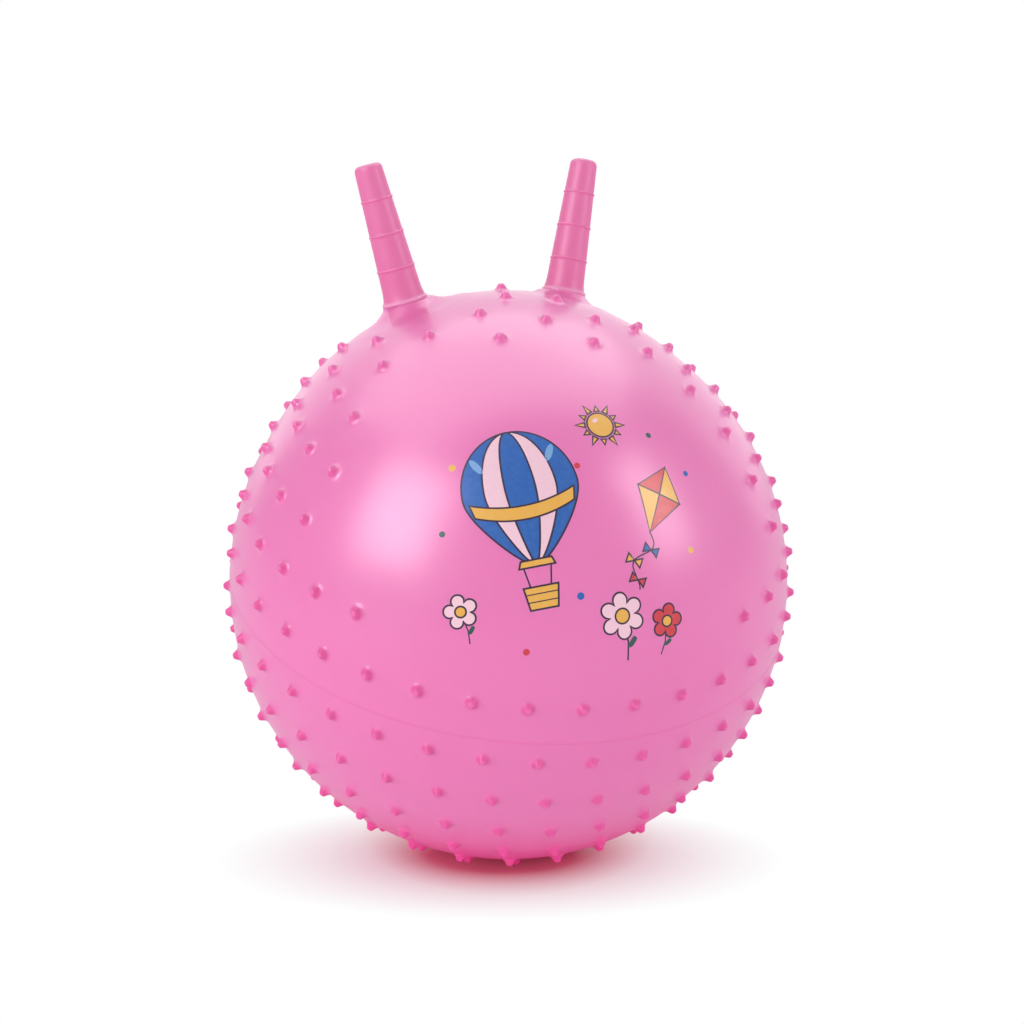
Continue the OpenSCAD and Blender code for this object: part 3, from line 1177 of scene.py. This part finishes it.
def inside(points, outline):
    """Which points lie within a closed outline."""
    a = np.array(outline)
    b = np.roll(a, -1, axis=0)
    x, y = points[:, :1], points[:, 1:]
    rise = np.where(a[:, 1] == b[:, 1], 1, b[:, 1] - a[:, 1])
    on_left = x < a[:, 0] + (y - a[:, 1]) * (b[:, 0] - a[:, 0]) / rise
    crossed = ((a[:, 1] > y) != (b[:, 1] > y)) & on_left
    return crossed.sum(axis=1) % 2 == 1


def close_set(outline, step):
    """The outline with more points, so that no side is longer than a step."""
    out = []
    for p, q in zip(outline, outline[1:] + outline[:1]):
        p, q = np.array(p, float), np.array(q, float)
        parts = max(1, math.ceil(np.linalg.norm(q - p) / step))
        out += [tuple(p + (q - p) * k / parts) for k in range(parts)]
    return out


def ink_mesh(outline, level):
    """A thin closed layer over one outline: its top follows the skin, its rim goes into it."""
    outline = close_set(outline, INK_STEP)
    low, high = np.min(outline, axis=0), np.max(outline, axis=0)
    steps = (np.arange(low[i] + INK_STEP / 3, high[i], INK_STEP) for i in (0, 1))
    grid = np.stack(np.meshgrid(*steps), axis=-1).reshape(-1, 2)
    flat = outline + grid[inside(grid, outline)].tolist()
    rim = [list(range(len(outline)))]
    mesh = delaunay_2d_cdt([Vector(p) for p in flat], [], rim, 0, INK_MERGE, True)
    spots, triangles = np.array([tuple(p) for p in mesh[0]]), np.array(mesh[2])
    triangles = triangles[inside(spots[triangles].mean(axis=1), outline)]
    used, faces = np.unique(triangles, return_inverse=True)
    faces = faces.reshape(-1, 3).tolist()
    tops = [on_skin(spots[i], LAYER * (level + 1)) for i in used]
    lows = [on_skin(spots[i], -INK_SINK) for i in used]
    n = len(used)
    edges = {(f[i], f[(i + 1) % 3]) for f in faces for i in range(3)}
    sides = [[b, a, a + n, b + n] for a, b in edges if (b, a) not in edges]
    under = [[i + n for i in f[::-1]] for f in faces]
    return tops + lows, faces + sides + under


def build_print():
    """One piece for each ink, of all its shapes."""
    motif_layout()
    for name, shapes in print_shapes.items():
        points, faces = [], []
        for outline, level in shapes:
            layer_points, layer_faces = ink_mesh(outline, level)
            faces += [[i + len(points) for i in f] for f in layer_faces]
            points += layer_points
        material = ink("ink_" + name, *INKS[name])
        make_piece("print_" + name, points, faces, "ball", material, INK_CREASE)


# Floor, light and camera. Azimuths, elevations and the backdrop's width are in degrees

FLOOR_HALF = 6.0
FLOOR_Z = -0.15 * MM
FLOOR_PAINT = (0.95, 0.95, 0.95, 1)
FLOOR_LIGHT_TINT = rgb(240, 140, 172)
LIGHT_TINT_SPAN = (86 * MM, 126 * MM)
SHADE_TURN = -24.6 * DEG
SHADE_AT = (-7 * MM, 58 * MM)
SHADE_STRETCH = 2.2
SHADE_SPAN = (27 * MM, 105 * MM)

WORLD_LEVEL = 1.08
OVERHEAD_FROM = 0.3
OVERHEAD_SHARE = 0.37
GLOSS_DIM = 0.38
GLOSS_WHITE = 1.3
BACKDROP_AZIMUTH = 150
BACKDROP_ELEVATION = 14
BACKDROP_HALF = 52
BACKDROP_EDGE = 5

# Name, azimuth, elevation, distance, width, height, watts and the part of the light it is for
SOFTBOXES = (
    ("key", -75, 14, 1.9, 1.3, 1.3, 7, "diffuse"),
    ("fill", 62, 14, 2.1, 1.4, 1.4, 5, "diffuse"),
    ("top_gloss", 172, 74, 1.7, 2.6, 1.6, 32, "gloss"),
    ("left_gloss", -73, 34, 1.7, 0.88, 1.05, 21, "gloss"),
    ("right_gloss", 44, 31, 1.9, 0.55, 1.2, 12, "gloss"),
)

CAMERA_AZIMUTH = -24.6
CAMERA_ELEVATION = 16.8
CAMERA_FAR = 6 * BALL_R
CAMERA_CLIP = (0.01, 60)
IMAGE_PX = 1024
BALL_AT_PX = (508.6, 578.5)
BALL_R_PX = 278.4
SENSOR = 36.0


def away(azimuth, elevation):
    """The direction from the ball to a lamp or the camera."""
    return Vector(direction(azimuth * DEG, elevation * DEG))


def floor_material():
    """White paint that takes the ball's shadow and, to the eye, turns to plain white further off.

    Round its foot the paint is tinted pink, painted light that stands in for the light coming
    through the soft ball.
    """
    m, tree = new_material("pale_floor")
    out = node(tree, "ShaderNodeOutputMaterial")
    paint = node(tree, "ShaderNodeBsdfDiffuse")
    glow = node(tree, "ShaderNodeEmission", Color=WHITE, Strength=1.0)
    coords = node(tree, "ShaderNodeTexCoord")
    stretch = node(tree, "ShaderNodeVectorMath", operation="MULTIPLY")
    far = node(tree, "ShaderNodeVectorMath", operation="LENGTH")
    path = node(tree, "ShaderNodeLightPath")
    seen = node(tree, "ShaderNodeMath", operation="MULTIPLY")
    mix = node(tree, "ShaderNodeMixShader")
    place = node(tree, "ShaderNodeNewGeometry")
    off = node(tree, "ShaderNodeVectorMath", operation="LENGTH")
    stretch.inputs[1].default_value = (1 / SHADE_STRETCH, 1, 1)
    join(tree,
         (coords, "Object", stretch, 0),
         (stretch, "Vector", far, 0),
         (path, "Is Camera Ray", seen, 1),
         (place, "Position", off, 0))
    tree.links.new(to_range(tree, far.outputs["Value"], *SHADE_SPAN, 0, 1), seen.inputs[0])
    # Painted light: pink paint round the ball's foot, for the light let through the ball
    near = to_range(tree, off.outputs["Value"], *LIGHT_TINT_SPAN, 1, 0)
    tree.links.new(mixed(tree, near, FLOOR_PAINT, FLOOR_LIGHT_TINT), paint.inputs["Color"])
    join(tree,
         (seen, "Value", mix, "Fac"),
         (paint, "BSDF", mix, 1),
         (glow, "Emission", mix, 2),
         (mix, "Shader", out, "Surface"))
    return m


def build_floor():
    """A square floor, turned and moved so that its origin is the middle of the shade."""
    h, z = FLOOR_HALF, FLOOR_Z
    mesh = bpy.data.meshes.new("floor")
    mesh.from_pydata([(-h, -h, z), (h, -h, z), (h, h, z), (-h, h, z)], [], [[0, 1, 2, 3]])
    mesh.materials.append(floor_material())
    floor = add_to_scene("floor", mesh)
    c, s = math.cos(SHADE_TURN), math.sin(SHADE_TURN)
    x, y = SHADE_AT
    floor.rotation_euler = (0, 0, SHADE_TURN)
    floor.location = (c * x + s * y, s * x - c * y, 0)


def build_world():
    """White to look at, dim as a lamp, and bright in the gloss only where the backdrop would be."""
    world = bpy.data.worlds.new("studio")
    bpy.context.scene.world = world
    world.use_nodes = True
    tree = world.node_tree
    tree.nodes.clear()
    out = node(tree, "ShaderNodeOutputWorld")
    lamp = node(tree, "ShaderNodeBackground", Color=WHITE)
    white = node(tree, "ShaderNodeBackground", Color=WHITE, Strength=1.0)
    gloss = node(tree, "ShaderNodeBackground", Color=WHITE)
    path = node(tree, "ShaderNodeLightPath")
    coords = node(tree, "ShaderNodeTexCoord")
    height = node(tree, "ShaderNodeSeparateXYZ")
    facing = node(tree, "ShaderNodeVectorMath", operation="DOT_PRODUCT")
    facing.inputs[1].default_value = away(BACKDROP_AZIMUTH, BACKDROP_ELEVATION)
    join(tree, (coords, "Generated", height, "Vector"), (coords, "Generated", facing, 0))
    overhead = (OVERHEAD_FROM, 1, WORLD_LEVEL, WORLD_LEVEL * OVERHEAD_SHARE)
    tree.links.new(to_range(tree, height.outputs["Z"], *overhead), lamp.inputs["Strength"])
    edge = (math.cos(BACKDROP_HALF * DEG), math.cos((BACKDROP_HALF - BACKDROP_EDGE) * DEG))
    backdrop = to_range(tree, facing.outputs["Value"], *edge, GLOSS_DIM, GLOSS_WHITE)
    tree.links.new(backdrop, gloss.inputs["Strength"])
    lit = node(tree, "ShaderNodeMixShader")
    seen = node(tree, "ShaderNodeMixShader")
    join(tree,
         (path, "Is Glossy Ray", lit, "Fac"),
         (lamp, "Background", lit, 1),
         (gloss, "Background", lit, 2),
         (path, "Is Camera Ray", seen, "Fac"),
         (lit, "Shader", seen, 1),
         (white, "Background", seen, 2),
         (seen, "Shader", out, "Surface"))


def build_softbox(name, azimuth, elevation, distance, width, height, watts, part):
    """An area lamp that faces the ball, for the diffuse light or for the gloss alone."""
    lamp = bpy.data.lights.new(name, "AREA")
    lamp.shape = "RECTANGLE"
    lamp.size, lamp.size_y, lamp.energy = width, height, watts
    holder = add_to_scene(name, lamp)
    back = away(azimuth, elevation)
    holder.location = Vector(CENTRE) + back * distance
    holder.rotation_euler = back.to_track_quat("Z", "Y").to_euler()
    holder.visible_diffuse = part == "diffuse"
    holder.visible_glossy = part == "gloss"
    holder.visible_camera = False


def build_camera():
    """A camera that sees the ball's round where and as large as the photograph does."""
    focal_px = BALL_R_PX * math.sqrt((CAMERA_FAR / BALL_R) ** 2 - 1)
    data = bpy.data.cameras.new("camera")
    data.sensor_width = SENSOR
    data.lens = focal_px / IMAGE_PX * SENSOR
    data.clip_start, data.clip_end = CAMERA_CLIP
    holder = add_to_scene("camera", data)
    back = away(CAMERA_AZIMUTH, CAMERA_ELEVATION)
    right = Vector((0, 0, 1)).cross(back).normalized()
    up = back.cross(right)
    aside, below = ((at - IMAGE_PX / 2) / focal_px for at in BALL_AT_PX)
    ahead = -back + up * below - right * aside
    holder.location = Vector(CENTRE) + back * CAMERA_FAR
    holder.rotation_euler = ahead.to_track_quat("-Z", "Y").to_euler()
    bpy.context.scene.camera = holder


skin_material, grip_material, valve_material = skin_vinyl(), grip_vinyl(), valve_vinyl()
build_skin(skin_material)
build_grips(grip_material)
build_valve(valve_material)
build_print()
build_floor()
build_world()
for box in SOFTBOXES:
    build_softbox(*box)
build_camera()
bpy.context.scene.view_settings.view_transform = "Standard"
